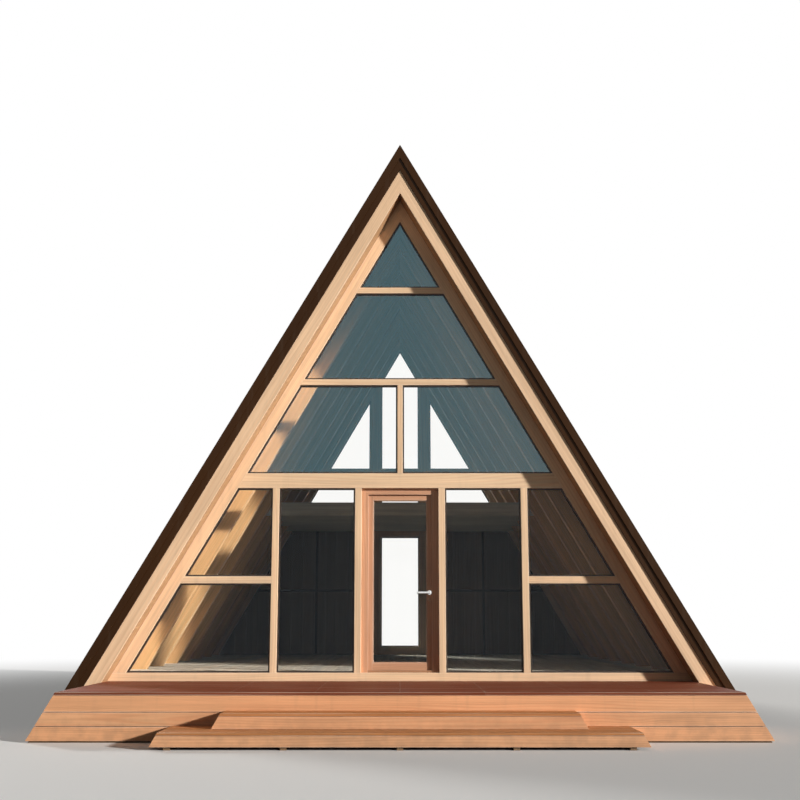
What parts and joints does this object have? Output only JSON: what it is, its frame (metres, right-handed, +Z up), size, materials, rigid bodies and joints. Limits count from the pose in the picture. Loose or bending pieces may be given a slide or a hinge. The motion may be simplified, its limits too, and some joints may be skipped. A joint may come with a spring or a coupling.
{
  "type": "a-frame cabin",
  "caption": "Timber A-frame cabin with a steep dark metal roof down to the ground, a fully glazed front gable, a glazed door, a loft and a front deck with wide steps.",
  "frame": {"origin": "middle of the plan box, on the ground", "axes": "+X to the right seen from the front, -Y out of the glazed front, +Z up"},
  "size_m": [8.106, 9.07, 7.06],
  "materials": {
    "frame_timber": "satin",
    "soffit_timber": "satin",
    "bargeboard_timber": "satin",
    "door_timber": "satin",
    "deck_timber": "matt",
    "base_timber": "matt",
    "floor_boards": "satin",
    "wall_boards": "matt",
    "roof_metal": "satin",
    "glass": "polished",
    "gasket": "matt",
    "handle_metal": "satin",
    "threshold_metal": "satin"
  },
  "bodies": {
    "cabin": {"ridge_cap": "roof_metal", "roof_panel_left": "soffit_timber", "roof_panel_right": "soffit_timber", "roof_ribs_left": "frame_timber", "roof_ribs_right": "frame_timber", "roof_sheet_left": "roof_metal", "roof_sheet_right": "roof_metal", "verge_front_left": "roof_metal", "verge_front_right": "roof_metal", "verge_back_left": "roof_metal", "verge_back_right": "roof_metal", "bargeboard_front_left": "bargeboard_timber", "bargeboard_front_right": "bargeboard_timber", "bargeboard_back_left": "bargeboard_timber", "bargeboard_back_right": "bargeboard_timber", "front_sill": "frame_timber", "front_rake_left": "frame_timber", "front_rake_right": "frame_timber", "front_beam": "frame_timber", "front_rails": "frame_timber", "front_posts": "frame_timber", "front_mullion": "frame_timber", "front_glass_lower": "glass", "front_glass_upper": "glass", "front_gaskets": "gasket", "door_jambs": "door_timber", "door_head": "door_timber", "door_threshold": "threshold_metal", "door_hinge_pins": "handle_metal", "base_beams": "base_timber", "floor_slab": "floor_boards", "loft_floor": "floor_boards", "back_sill": "frame_timber", "back_rake_left": "frame_timber", "back_rake_right": "frame_timber", "back_posts": "frame_timber", "back_rails": "frame_timber", "back_infill": "wall_boards", "back_glass": "glass", "back_gaskets": "gasket", "deck_top": "deck_timber", "deck_joists": "base_timber", "deck_bearers": "base_timber", "deck_skirt_front": "deck_timber", "deck_skirt_sides": "deck_timber", "step_treads": "deck_timber", "step_skirts": "deck_timber", "step_bearers": "base_timber"},
    "front_door": {"door_leaf": "door_timber", "door_glass": "glass", "door_roses": "handle_metal", "door_hinge_knuckles": "handle_metal"},
    "door_lever": {"door_lever": "handle_metal"}
  },
  "joints": [
    {"name": "door_swing", "type": "hinge", "parent": "cabin", "child": "front_door", "pos_m": [-0.396, -1.945, 1.658], "axis": [0, 0, 1], "range_deg": [0, 95]},
    {"name": "lever_turn", "type": "hinge", "parent": "front_door", "child": "door_lever", "pos_m": [0.3535, -1.987, 1.524], "axis": [0, -1, 0], "range_deg": [0, 40], "stiffness_Nm_per_rad": 1.5, "springref_deg": -22.92}
  ]
}
